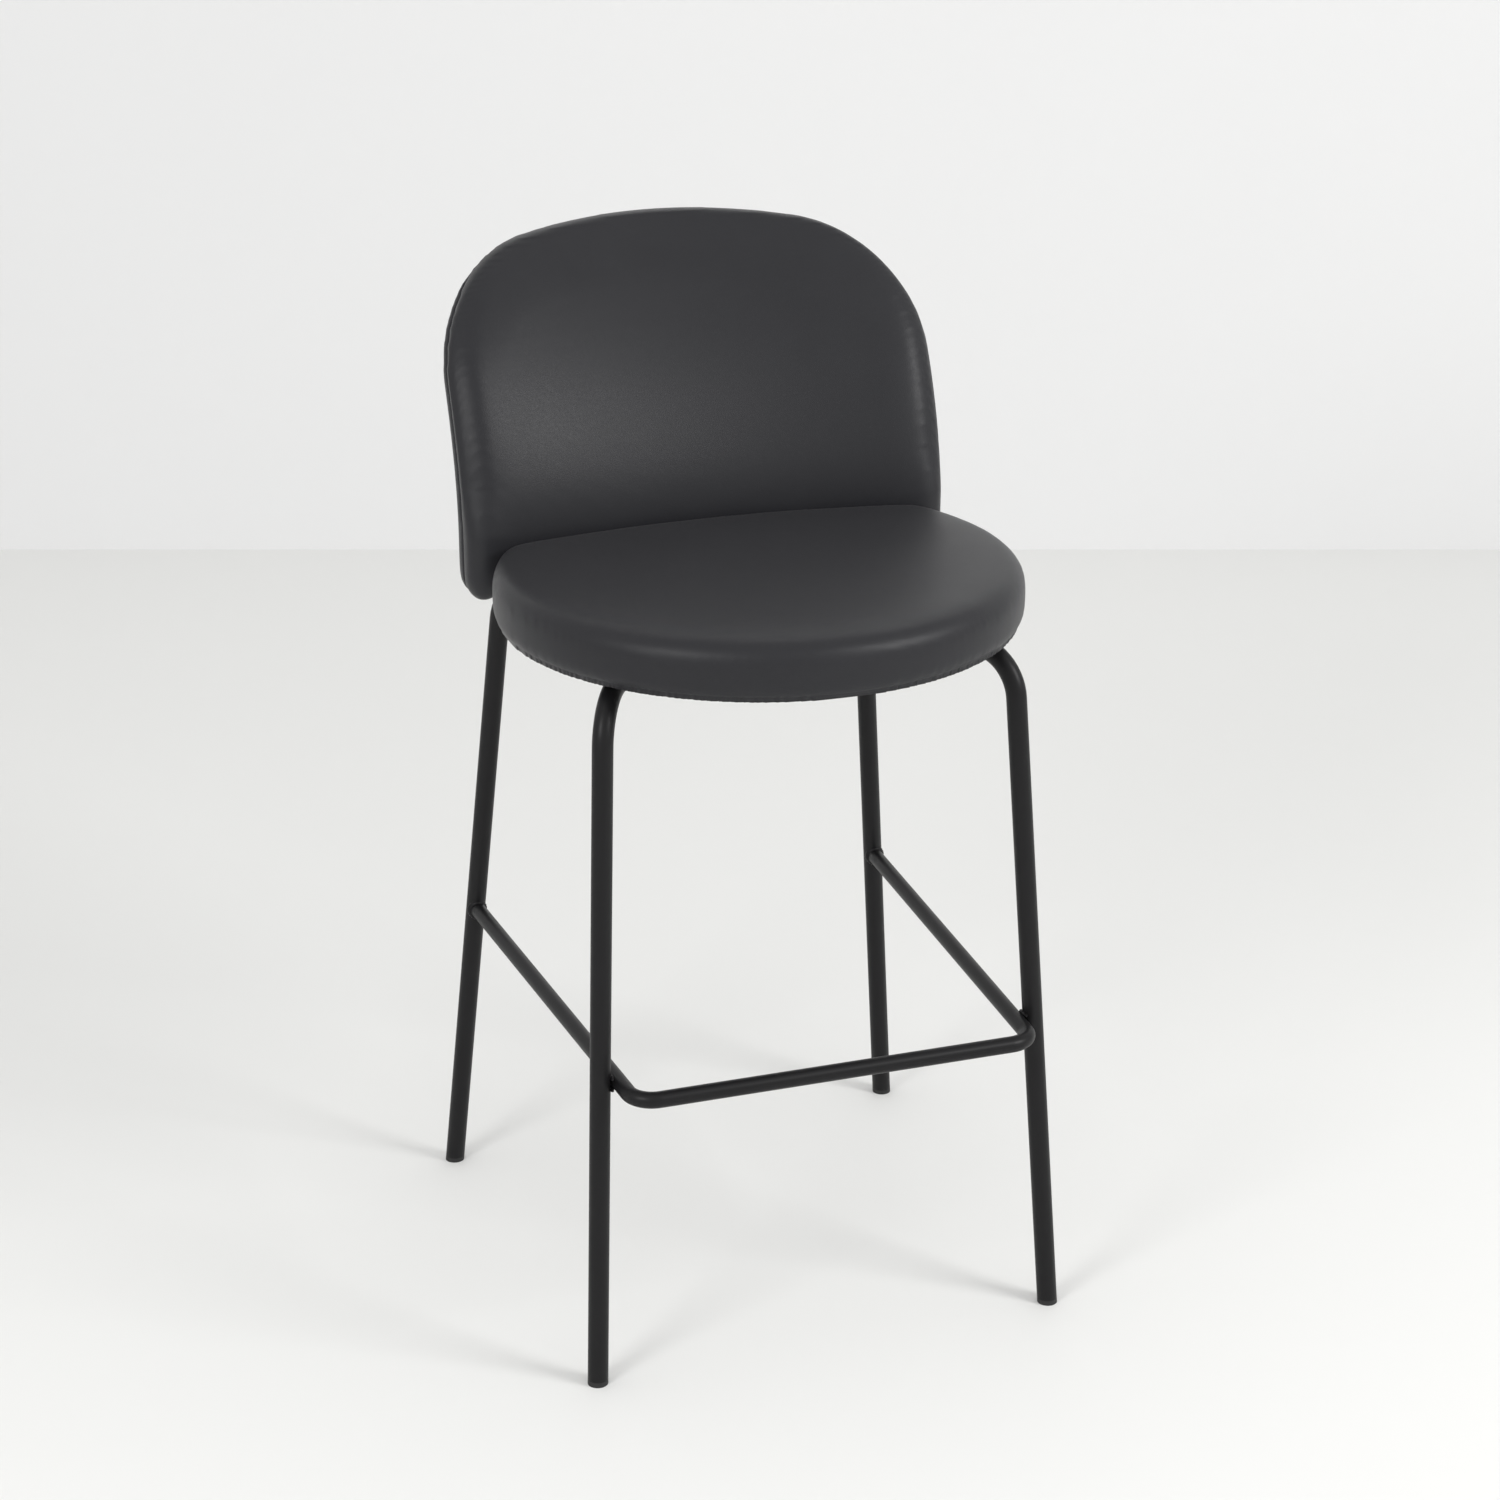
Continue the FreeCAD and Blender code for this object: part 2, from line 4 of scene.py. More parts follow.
import bpy
import numpy as np
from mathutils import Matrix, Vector


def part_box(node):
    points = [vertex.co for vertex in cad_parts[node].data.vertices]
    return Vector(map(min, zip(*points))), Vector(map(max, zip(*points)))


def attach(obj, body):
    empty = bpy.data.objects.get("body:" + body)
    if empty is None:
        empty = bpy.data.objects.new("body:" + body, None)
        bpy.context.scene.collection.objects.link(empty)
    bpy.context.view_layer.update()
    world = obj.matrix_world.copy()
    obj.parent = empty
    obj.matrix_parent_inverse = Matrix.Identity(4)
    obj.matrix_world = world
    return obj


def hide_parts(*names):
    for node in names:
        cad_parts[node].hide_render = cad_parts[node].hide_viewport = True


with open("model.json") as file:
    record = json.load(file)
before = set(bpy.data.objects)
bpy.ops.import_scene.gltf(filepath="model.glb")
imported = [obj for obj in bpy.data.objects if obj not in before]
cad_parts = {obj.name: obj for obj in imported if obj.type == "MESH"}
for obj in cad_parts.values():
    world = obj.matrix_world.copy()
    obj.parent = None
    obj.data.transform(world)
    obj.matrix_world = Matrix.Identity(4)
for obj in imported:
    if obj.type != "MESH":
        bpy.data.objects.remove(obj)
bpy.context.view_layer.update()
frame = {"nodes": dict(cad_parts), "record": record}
nodes = frame["nodes"]
scene = bpy.context.scene

# ---- the form of the back and the seat, in metres, as the stool is built
BACK_HALF_WIDTH = 0.2525
BACK_FRONT_Y = 0.114
LEAN_START = 0.750
LEAN_HEIGHT = 0.250
LEAN = 0.131
LEAN_POWER = 1.6
WRAP = 0.034
WRAP_GAIN = 0.026
WRAP_POWER = 1.2
BACK_SEAM = 0.039
SEAT_CENTRE_Y = -0.048
SEAT_CONTACT_TOP = 0.752
CONTACT_FADE = 0.045
RIM_ROLL_WIDTH = 0.060
RIM_ROLL_DEPTH = 0.012
TIP_DROP = 0.014
TIP_START_X = 0.195
TIP_TOP = 0.745
TIP_FADE = 0.045
TIP_EDGE = 0.012
TOP_RADIUS = 1.0
SHOULDER_RADIUS = 0.125
BACK_TOP = 1.023
COVER_UNDERSIDE = 0.6917
COVER_GROWTH = 0.0012
CONTACT_GROWTH = 0.0010
MERGE_DISTANCE = 0.00001


def back_front_y(x, z):
    """Depth of the front of the back at places across and up it."""
    rise = np.maximum(0.0, (z - LEAN_START) / LEAN_HEIGHT)
    wrap = WRAP + WRAP_GAIN * rise**WRAP_POWER
    return BACK_FRONT_Y + LEAN * rise**LEAN_POWER - wrap * (x / BACK_HALF_WIDTH) ** 2


# ---------------------------------------------------------------- small helpers
def deselect():
    if bpy.context.object and bpy.context.object.mode != "OBJECT":
        bpy.ops.object.mode_set(mode="OBJECT")
    bpy.ops.object.select_all(action="DESELECT")


def pick(obj):
    deselect()
    obj.select_set(True)
    bpy.context.view_layer.objects.active = obj
    return obj


def named_active(name):
    obj = bpy.context.object
    obj.name = name
    obj.data.name = name
    return obj


def settle(obj):
    """Puts the object's place into its mesh, so the object sits at the origin."""
    pick(obj)
    bpy.ops.object.transform_apply(location=True, rotation=True, scale=True)
    return obj


def finish_modifier(obj, kind, **settings):
    pick(obj)
    modifier = obj.modifiers.new(kind.lower(), kind)
    for key, value in settings.items():
        setattr(modifier, key, value)
    bpy.ops.object.modifier_apply(modifier=modifier.name)
    return obj


def points_of(obj):
    flat = np.empty(len(obj.data.vertices) * 3, np.float32)
    obj.data.vertices.foreach_get("co", flat)
    return flat.reshape(-1, 3).astype(float)


def normals_of(obj):
    flat = np.empty(len(obj.data.vertices) * 3, np.float32)
    obj.data.vertices.foreach_get("normal", flat)
    return flat.reshape(-1, 3).astype(float)


def move_points(obj, points):
    obj.data.vertices.foreach_set("co", points.astype(np.float32).ravel())
    obj.data.update()


def joined(parts, name):
    deselect()
    for part in parts:
        part.select_set(True)
    bpy.context.view_layer.objects.active = parts[0]
    if len(parts) > 1:
        bpy.ops.object.join()
    return named_active(name)


# ---------------------------------------------------------------- shader groups
def new_group(name, inputs, outputs):
    group = bpy.data.node_groups.new(name, "ShaderNodeTree")
    for label, kind, value in inputs:
        socket = group.interface.new_socket(label, in_out="INPUT", socket_type=kind)
        socket.default_value = value
    for label, kind in outputs:
        group.interface.new_socket(label, in_out="OUTPUT", socket_type=kind)
    start = group.nodes.new("NodeGroupInput")
    end = group.nodes.new("NodeGroupOutput")
    return group, start, end


def math_node(tree, operation, a, b=None):
    node = tree.nodes.new("ShaderNodeMath")
    node.operation = operation
    for index, value in enumerate((a, b)):
        if value is None:
            continue
        if isinstance(value, (int, float)):
            node.inputs[index].default_value = value
        else:
            tree.links.new(value, node.inputs[index])
    return node.outputs[0]


def object_place(tree):
    return tree.nodes.new("ShaderNodeTexCoord").outputs["Object"]


def noise(tree, place, scale, detail=3.0, roughness=0.5):
    node = tree.nodes.new("ShaderNodeTexNoise")
    tree.links.new(place, node.inputs["Vector"])
    if isinstance(scale, (int, float)):
        node.inputs["Scale"].default_value = scale
    else:
        tree.links.new(scale, node.inputs["Scale"])
    node.inputs["Detail"].default_value = detail
    node.inputs["Roughness"].default_value = roughness
    return node.outputs["Fac"]


def pebble_grain_group():
    """Embossed pebbles of a coated cloth: cells with fine creases between, and pores on top."""
    floats = "NodeSocketFloat"
    group, start, end = new_group(
        "pebble_grain",
        [("Cells per metre", floats, 900.0), ("Depth", floats, 1.0)],
        [("Height", floats), ("Crease", floats)],
    )
    place = object_place(group)
    warp = noise(group, place, 160.0, 2.0)
    cells = group.nodes.new("ShaderNodeTexVoronoi")
    cells.feature = "DISTANCE_TO_EDGE"
    stretched = group.nodes.new("ShaderNodeVectorMath")
    stretched.operation = "ADD"
    group.links.new(place, stretched.inputs[0])
    group.links.new(math_node(group, "MULTIPLY", warp, 0.002), stretched.inputs[1])
    group.links.new(stretched.outputs[0], cells.inputs["Vector"])
    group.links.new(start.outputs["Cells per metre"], cells.inputs["Scale"])
    ridge = math_node(group, "MINIMUM", math_node(group, "MULTIPLY", cells.outputs["Distance"], 4.0), 1.0)
    pores = noise(group, place, 2600.0, 2.0)
    height = math_node(group, "ADD", ridge, math_node(group, "MULTIPLY", pores, 0.35))
    group.links.new(math_node(group, "MULTIPLY", height, start.outputs["Depth"]), end.inputs["Height"])
    group.links.new(math_node(group, "SUBTRACT", 1.0, ridge), end.inputs["Crease"])
    return group


def handling_group():
    """Slow unevenness from handling and cleaning: shifts the colour and the gloss a little."""
    floats = "NodeSocketFloat"
    colours = "NodeSocketColor"
    group, start, end = new_group(
        "handling",
        [
            ("Colour", colours, (0.05, 0.05, 0.05, 1.0)),
            ("Lighter", colours, (0.07, 0.07, 0.07, 1.0)),
            ("Amount", floats, 0.5),
            ("Gloss low", floats, 0.4),
            ("Gloss high", floats, 0.5),
            ("Patches per metre", floats, 9.0),
        ],
        [("Colour", colours), ("Roughness", floats), ("Mask", floats)],
    )
    place = object_place(group)
    broad = noise(group, place, start.outputs["Patches per metre"], 4.0, 0.6)
    fine = noise(group, place, 420.0, 3.0, 0.6)
    most_of_it = math_node(group, "MULTIPLY", broad, 0.7)
    both = math_node(group, "ADD", most_of_it, math_node(group, "MULTIPLY", fine, 0.3))
    mask = math_node(group, "MULTIPLY", both, start.outputs["Amount"])
    mix = group.nodes.new("ShaderNodeMix")
    mix.data_type = "RGBA"
    group.links.new(mask, mix.inputs["Factor"])
    colours_in = [socket for socket in mix.inputs if socket.type == "RGBA"]
    group.links.new(start.outputs["Colour"], colours_in[0])
    group.links.new(start.outputs["Lighter"], colours_in[1])
    colour_out = next(socket for socket in mix.outputs if socket.type == "RGBA")
    span = math_node(group, "SUBTRACT", start.outputs["Gloss high"], start.outputs["Gloss low"])
    rough = math_node(group, "ADD", math_node(group, "MULTIPLY", both, span), start.outputs["Gloss low"])
    group.links.new(colour_out, end.inputs["Colour"])
    group.links.new(rough, end.inputs["Roughness"])
    group.links.new(mask, end.inputs["Mask"])
    return group


def orange_peel_group():
    """Soft dimples of a sprayed and baked coat, with finer specks on them."""
    floats = "NodeSocketFloat"
    group, start, end = new_group(
        "orange_peel",
        [("Dimples per metre", floats, 500.0), ("Depth", floats, 1.0)],
        [("Height", floats)],
    )
    place = object_place(group)
    soft = noise(group, place, start.outputs["Dimples per metre"], 2.0, 0.4)
    speck = noise(group, place, 3200.0, 2.0, 0.5)
    height = math_node(group, "ADD", soft, math_node(group, "MULTIPLY", speck, 0.3))
    group.links.new(math_node(group, "MULTIPLY", height, start.outputs["Depth"]), end.inputs["Height"])
    return group


def dust_group():
    """A thin film of dust that settles on faces that look up."""
    floats = "NodeSocketFloat"
    colours = "NodeSocketColor"
    group, start, end = new_group(
        "dust_film",
        [("Colour", colours, (0.05, 0.05, 0.05, 1.0)), ("Amount", floats, 0.03)],
        [("Colour", colours), ("Mask", floats)],
    )
    shape = group.nodes.new("ShaderNodeNewGeometry")
    split = group.nodes.new("ShaderNodeSeparateXYZ")
    group.links.new(shape.outputs["Normal"], split.inputs[0])
    facing = math_node(group, "MAXIMUM", split.outputs["Z"], 0.0)
    patchy = noise(group, object_place(group), 60.0, 5.0, 0.7)
    film = math_node(group, "MULTIPLY", math_node(group, "POWER", facing, 3.0), patchy)
    mask = math_node(group, "MULTIPLY", film, start.outputs["Amount"])
    mix = group.nodes.new("ShaderNodeMix")
    mix.data_type = "RGBA"
    group.links.new(mask, mix.inputs["Factor"])
    colour_in = [s for s in mix.inputs if s.type == "RGBA"]
    group.links.new(start.outputs["Colour"], colour_in[0])
    colour_in[1].default_value = (0.42, 0.41, 0.39, 1.0)
    group.links.new(next(s for s in mix.outputs if s.type == "RGBA"), end.inputs["Colour"])
    group.links.new(mask, end.inputs["Mask"])
    return group


PEBBLE_GRAIN = pebble_grain_group()
HANDLING = handling_group()
ORANGE_PEEL = orange_peel_group()
DUST = dust_group()


# ---------------------------------------------------------------- materials
def place_group(tree, group, **values):
    node = tree.nodes.new("ShaderNodeGroup")
    node.node_tree = group
    for key, value in values.items():
        node.inputs[key.replace("_", " ")].default_value = value
    return node


def base_material(name, colour, lighter, gloss, amount, patches, dust, **shader):
    """Principled finish with handling marks and a dust film; returns it with its tree and shader."""
    material = bpy.data.materials.new(name)
    material.use_nodes = True
    tree = material.node_tree
    principled = tree.nodes["Principled BSDF"]
    for key, value in shader.items():
        principled.inputs[key.replace("_", " ")].default_value = value
    worn = place_group(
        tree,
        HANDLING,
        Colour=(*colour, 1.0),
        Lighter=(*lighter, 1.0),
        Amount=amount,
        Gloss_low=gloss[0],
        Gloss_high=gloss[1],
        Patches_per_metre=patches,
    )
    film = place_group(tree, DUST, Amount=dust)
    tree.links.new(worn.outputs["Colour"], film.inputs["Colour"])
    tree.links.new(film.outputs["Colour"], principled.inputs["Base Color"])
    tree.links.new(worn.outputs["Roughness"], principled.inputs["Roughness"])
    return material, tree, principled


def relief(tree, principled, height, distance, strength):
    bump = tree.nodes.new("ShaderNodeBump")
    bump.inputs["Distance"].default_value = distance
    bump.inputs["Strength"].default_value = strength
    tree.links.new(height, bump.inputs["Height"])
    tree.links.new(bump.outputs["Normal"], principled.inputs["Normal"])


def leatherette():
    material, tree, principled = base_material(
        "charcoal_leatherette",
        (0.0165, 0.0165, 0.0190),
        (0.0260, 0.0260, 0.0290),
        (0.34, 0.46),
        0.7,
        11.0,
        0.004,
        Specular_IOR_Level=0.24,
        Sheen_Weight=0.02,
        Sheen_Roughness=0.45,
    )
    grain = place_group(tree, PEBBLE_GRAIN, Cells_per_metre=850.0, Depth=1.0)
    relief(tree, principled, grain.outputs["Height"], 0.00012, 0.35)
    return material


def powder_coat():
    material, tree, principled = base_material(
        "black_powder_coat",
        (0.0070, 0.0068, 0.0074),
        (0.0110, 0.0107, 0.0114),
        (0.34, 0.46),
        0.6,
        14.0,
        0.004,
        Specular_IOR_Level=0.22,
    )
    peel = place_group(tree, ORANGE_PEEL, Dimples_per_metre=520.0, Depth=1.0)
    relief(tree, principled, peel.outputs["Height"], 0.00015, 0.35)
    return material


def zinc_plate():
    material, tree, principled = base_material(
        "zinc_plate", (0.52, 0.52, 0.50), (0.64, 0.63, 0.60), (0.28, 0.45), 0.8, 120.0, 0.05, Metallic=1.0
    )
    peel = place_group(tree, ORANGE_PEEL, Dimples_per_metre=1800.0, Depth=1.0)
    relief(tree, principled, peel.outputs["Height"], 0.00005, 0.3)
    return material


def glide_plastic():
    material, tree, principled = base_material(
        "black_glide_plastic", (0.010, 0.010, 0.010), (0.018, 0.018, 0.018), (0.5, 0.68), 0.7, 60.0, 0.01
    )
    peel = place_group(tree, ORANGE_PEEL, Dimples_per_metre=1500.0, Depth=1.0)
    relief(tree, principled, peel.outputs["Height"], 0.0001, 0.4)
    return material


def birch_plywood():
    material, tree, principled = base_material(
        "birch_plywood", (0.55, 0.40, 0.25), (0.70, 0.55, 0.37), (0.55, 0.7), 0.9, 30.0, 0.0
    )
    peel = place_group(tree, ORANGE_PEEL, Dimples_per_metre=900.0, Depth=1.0)
    relief(tree, principled, peel.outputs["Height"], 0.0002, 0.4)
    return material


def spunbond_cloth():
    material, tree, principled = base_material(
        "black_spunbond", (0.018, 0.018, 0.019), (0.045, 0.045, 0.046), (0.75, 0.9), 1.0, 700.0, 0.0,
        Sheen_Weight=0.3,
    )
    grain = place_group(tree, PEBBLE_GRAIN, Cells_per_metre=520.0, Depth=1.0)
    relief(tree, principled, grain.outputs["Height"], 0.0002, 0.6)
    return material


LEATHERETTE = leatherette()
POWDER_COAT = powder_coat()
ZINC = zinc_plate()
GLIDE = glide_plastic()
PLYWOOD = birch_plywood()
SPUNBOND = spunbond_cloth()
CAD_FINISHES = {
    "frame_steel": POWDER_COAT,
    "glide_plastic": GLIDE,
    "zinc_screws": ZINC,
    "plywood": PLYWOOD,
    "underside_cloth": SPUNBOND,
    "leatherette": LEATHERETTE,
    "foam": LEATHERETTE,
}


def give_finish(obj, material):
    obj.data.materials.clear()
    obj.data.materials.append(material)


for part in frame["record"]["subparts"]:
    give_finish(nodes[part["node"]], CAD_FINISHES[part["material_slot"]])


# ---------------------------------------------------------------- padded pieces
VOXEL = 0.005
SWELL_FRAMES = 20
SWELL_PRESSURE = 4.0
SWELL_STIFFNESS = 30.0
SWELL_BENDING = 6.0
SWELL_QUALITY = 5
EVENING_PASSES = 40
SEAT_CROWN = 0.0025
FRONT_CROWN = 0.0006
REAR_CROWN = 0.0025
SMOOTHING_PASSES = 6
LAST_SMOOTHING = 3
SEAT_HELD_BELOW = 0.698
NEAR_BACK = 0.02
FLAT_BELOW = 0.700
BACK_SAMPLE_HEIGHT = 0.70
PLEAT_TOP = 0.6955
PLEAT_FADE = 0.003
PLEAT_START = 0.20
PLEAT_SPREAD = 0.02
PLEAT_DEPTH = 0.0005
SEAM_MARGIN = 0.003
BRACKET_X = 0.045
SLOT_CENTRE = (0.137, 0.728)
SLOT_SIZE = (0.036, 0.028, 0.064)


def foam_copy(names, plugs, name):
    """One closed form from the foam and board that fill a cushion, with its inner slots filled."""
    parts = []
    for node in names:
        copy = bpy.data.objects.new(node + "_form", nodes[node].data.copy())
        scene.collection.objects.link(copy)
        pick(copy)
        bpy.ops.object.mode_set(mode="EDIT")
        bpy.ops.mesh.select_all(action="SELECT")
        bpy.ops.mesh.remove_doubles(threshold=MERGE_DISTANCE)
        bpy.ops.object.mode_set(mode="OBJECT")
        parts.append(copy)
    for centre, size in plugs:
        deselect()
        bpy.ops.mesh.primitive_cube_add(size=1.0, location=centre, scale=size)
        parts.append(settle(bpy.context.object))
    form = joined(parts, name)
    finish_modifier(form, "REMESH", mode="VOXEL", voxel_size=VOXEL, adaptivity=0.0)
    pick(form)
    bpy.ops.mesh.separate(type="LOOSE")
    shells = sorted(bpy.context.selected_objects, key=lambda shell: -len(shell.data.vertices))
    for scrap in shells[1:]:
        bpy.data.objects.remove(scrap)
    form = pick(shells[0])
    form.name = name
    form.data.name = name
    finish_modifier(form, "SMOOTH", factor=0.5, iterations=SMOOTHING_PASSES)
    return form


def evened_out(form, amount, passes):
    """Averages a value along the mesh's edges, so neighbouring points move alike."""
    ends = np.empty(len(form.data.edges) * 2, np.int32)
    form.data.edges.foreach_get("vertices", ends)
    ends = ends.reshape(-1, 2)
    count = len(form.data.vertices)
    near = np.bincount(ends.ravel(), minlength=count)
    for _ in range(passes):
        total = np.bincount(ends[:, 0], amount[ends[:, 1]], count)
        total += np.bincount(ends[:, 1], amount[ends[:, 0]], count)
        amount = (amount + total / np.maximum(near, 1)) / 2
    return amount


def swell(form, held, most):
    """Blows the form up as cloth, pinned where 'held' says.

    Only growth straight outwards is kept. It is capped by 'most' and then evened out, so
    points near a held one move a little as well.
    """
    before = points_of(form)
    normals_before = normals_of(form)
    group = form.vertex_groups.new(name="held")
    pinned = np.nonzero(held(before, normals_before))[0]
    group.add([int(index) for index in pinned], 1.0, "REPLACE")
    limit = most(before, normals_before)
    pick(form)
    cloth = form.modifiers.new("swelling", "CLOTH")
    cloth.settings.quality = SWELL_QUALITY
    cloth.settings.use_pressure = True
    cloth.settings.uniform_pressure_force = SWELL_PRESSURE
    cloth.settings.tension_stiffness = SWELL_STIFFNESS
    cloth.settings.compression_stiffness = SWELL_STIFFNESS
    cloth.settings.bending_stiffness = SWELL_BENDING
    cloth.settings.effector_weights.gravity = 0.0
    cloth.settings.vertex_group_mass = "held"
    cloth.collision_settings.use_collision = False
    cloth.point_cache.frame_start = 1
    cloth.point_cache.frame_end = SWELL_FRAMES
    for step in range(1, SWELL_FRAMES + 1):
        scene.frame_set(step)
    bpy.ops.object.modifier_apply(modifier=cloth.name)
    outwards = ((points_of(form) - before) * normals_before).sum(1)
    grown = np.clip(outwards, 0.0, limit)
    grown = evened_out(form, grown, EVENING_PASSES)
    move_points(form, before + normals_before * grown[:, None])
    scene.frame_set(1)
    finish_modifier(form, "SMOOTH", factor=0.5, iterations=LAST_SMOOTHING)
    form.vertex_groups.clear()
    finish_modifier(form, "SUBSURF", levels=1, render_levels=1)
    pick(form)
    bpy.ops.object.shade_smooth()
    return form


def seat_cushion():
    form = foam_copy(["seat_foam", "seat_board"], [], "seat_cushion")

    def held(points, normals):
        return points[:, 2] < SEAT_HELD_BELOW

    def most(points, normals):
        back_there = back_front_y(points[:, 0], np.full(len(points), BACK_SAMPLE_HEIGHT))
        near_back = back_there - points[:, 1]
        crown = COVER_GROWTH + SEAT_CROWN * np.clip(normals[:, 2], 0, 1) ** 2
        return np.where(near_back < NEAR_BACK, CONTACT_GROWTH, crown)

    swell(form, held, most)
    points = points_of(form)
    flat = (normals_of(form)[:, 2] < -0.8) & (points[:, 2] < FLAT_BELOW)
    points[flat, 2] = COVER_UNDERSIDE
    around = np.arctan2(points[:, 1] - SEAT_CENTRE_Y, points[:, 0])
    reach = np.hypot(points[:, 1] - SEAT_CENTRE_Y, points[:, 0])
    low_down = np.clip((PLEAT_TOP - points[:, 2]) / PLEAT_FADE, 0, 1)
    under = low_down * np.clip((reach - PLEAT_START) / PLEAT_SPREAD, 0, 1)
    pleat = PLEAT_DEPTH * under * (np.sin(around * 58) * np.sin(around * 11 + 1.0))
    points[:, 2] += np.where(flat, 0.0, pleat)
    move_points(form, points)
    return form


def distance_from_outline(points):
    """How far inside the back's front view a point lies."""
    across = np.abs(points[:, 0])
    centre_x = BACK_HALF_WIDTH - SHOULDER_RADIUS
    drop = math.sqrt((TOP_RADIUS - SHOULDER_RADIUS) ** 2 - centre_x**2)
    centre_z = BACK_TOP - TOP_RADIUS + drop
    side = BACK_HALF_WIDTH - across
    top = TOP_RADIUS - np.hypot(across, points[:, 2] - (BACK_TOP - TOP_RADIUS))
    shoulder = SHOULDER_RADIUS - np.hypot(across - centre_x, points[:, 2] - centre_z)
    in_shoulder = (across > centre_x) & (points[:, 2] > centre_z)
    inside = np.minimum(side, top)
    return np.where(in_shoulder, np.minimum(inside, shoulder), inside)


def soften_rim(form):
    """Lets the front of the back roll away broadly toward its sides and top."""
    points = points_of(form)
    facing = np.clip(-normals_of(form)[:, 1], 0, 1)
    near = np.clip(1.0 - distance_from_outline(points) / RIM_ROLL_WIDTH, 0, 1)
    above_seat = np.clip((points[:, 2] - SEAT_CONTACT_TOP) / CONTACT_FADE, 0, 1)
    points[:, 1] += RIM_ROLL_DEPTH * near * near * facing * above_seat
    move_points(form, points)


def eased(value):
    share = np.clip(value, 0, 1)
    return share * share * (3 - 2 * share)


def drop_tips(form):
    """Draws the lower tips of the back down beside the seat, outside the frame runs."""
    points = points_of(form)
    tip_width = BACK_HALF_WIDTH - TIP_START_X - TIP_EDGE
    outer = eased((np.abs(points[:, 0]) - TIP_START_X) / tip_width)
    low_down = eased((TIP_TOP - points[:, 2]) / TIP_FADE)
    points[:, 2] -= TIP_DROP * outer * low_down
    move_points(form, points)


def back_cushion():
    slot_plugs = [((side * BRACKET_X, *SLOT_CENTRE), SLOT_SIZE) for side in (-1, 1)]
    form = foam_copy(["back_front_foam", "back_board"], slot_plugs, "back_front_cushion")

    def depth(points):
        return points[:, 1] - back_front_y(points[:, 0], points[:, 2])

    def held(points, normals):
        return depth(points) > BACK_SEAM - SEAM_MARGIN

    def most(points, normals):
        open_share = eased((points[:, 2] - SEAT_CONTACT_TOP) / CONTACT_FADE)
        crown = FRONT_CROWN * np.clip(-normals[:, 1], 0, 1)
        return CONTACT_GROWTH + (COVER_GROWTH - CONTACT_GROWTH + crown) * open_share

    swell(form, held, most)
    soften_rim(form)
    drop_tips(form)
    return form


def back_panel():
    form = foam_copy(["back_rear_foam"], [], "back_rear_cushion")

    def held(points, normals):
        deep = points[:, 1] - back_front_y(points[:, 0], points[:, 2])
        return deep < BACK_SEAM + SEAM_MARGIN

    def most(points, normals):
        return COVER_GROWTH + REAR_CROWN * np.clip(normals[:, 1], 0, 1) ** 2

    swell(form, held, most)
    drop_tips(form)
    return form


seat = seat_cushion()
back_front = back_cushion()
back_rear = back_panel()
for piece, replaced in (
    (seat, ("seat_cover", "seat_foam")),
    (back_front, ("back_front_cover", "back_front_foam")),
    (back_rear, ("back_rear_cover", "back_rear_foam")),
):
    give_finish(piece, LEATHERETTE)
    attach(piece, "root")
    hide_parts(*replaced)


# ---------------------------------------------------------------- cloth under the seat
CLOTH_RADIUS = 0.229
CLOTH_HEIGHT = 0.6914
CLOTH_THICKNESS = 0.0004
CLOTH_SIDES = 120
HEM_WIDTHS = (0.004, 0.010)
STAPLE_SIZE = (0.0100, 0.0012, 0.0007)
STAPLE_INSET = 0.007
STAPLE_COUNT = 40
REAR_CUTS = (
    ((0.0, 0.0820, CLOTH_HEIGHT), (0.0, 1.0, 0.0)),
    ((0.10, 0.0785, CLOTH_HEIGHT), (0.160, 1.0, 0.0)),
    ((-0.10, 0.0785, CLOTH_HEIGHT), (-0.160, 1.0, 0.0)),
)


def underside_cloth():
    deselect()
    bpy.ops.mesh.primitive_circle_add(
        vertices=CLOTH_SIDES,
        radius=CLOTH_RADIUS,
        fill_type="NGON",
        location=(0, SEAT_CENTRE_Y, CLOTH_HEIGHT),
    )
    cloth = settle(named_active("underside_cloth"))
    bpy.ops.object.mode_set(mode="EDIT")
    for place, away in REAR_CUTS:
        bpy.ops.mesh.select_all(action="SELECT")
        bpy.ops.mesh.bisect(plane_co=place, plane_no=away, clear_outer=True)
    bpy.ops.mesh.select_all(action="SELECT")
    bpy.ops.mesh.remove_doubles(threshold=0.0001)
    for width in HEM_WIDTHS:
        bpy.ops.mesh.inset(thickness=width)
    bpy.ops.mesh.select_all(action="SELECT")
    bpy.ops.mesh.normals_make_consistent(inside=False)
    bpy.ops.object.mode_set(mode="OBJECT")
    flat_area = sum(face.area for face in cloth.data.polygons)
    if sum(face.normal.z for face in cloth.data.polygons) > 0:
        bpy.ops.object.mode_set(mode="EDIT")
        bpy.ops.mesh.flip_normals()
        bpy.ops.object.mode_set(mode="OBJECT")
    finish_modifier(cloth, "SOLIDIFY", thickness=CLOTH_THICKNESS, offset=1.0)
    give_finish(cloth, SPUNBOND)
    return cloth, flat_area


cloth, cloth_area = underside_cloth()
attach(cloth, "root")
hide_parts("seat_underside_cloth")


def cloth_edge(angle, inside):
    """Place on the cloth's edge, moved in by 'inside', at an angle about the seat's centre."""
    reach = CLOTH_RADIUS - inside
    across, along = math.cos(angle), math.sin(angle)
    for place, away in REAR_CUTS:
        toward = across * away[0] + along * away[1]
        room = (place[0] * away[0] + (place[1] - SEAT_CENTRE_Y) * away[1]) - inside
        if toward > 1e-6:
            reach = min(reach, room / toward)
    return reach * across, SEAT_CENTRE_Y + reach * along


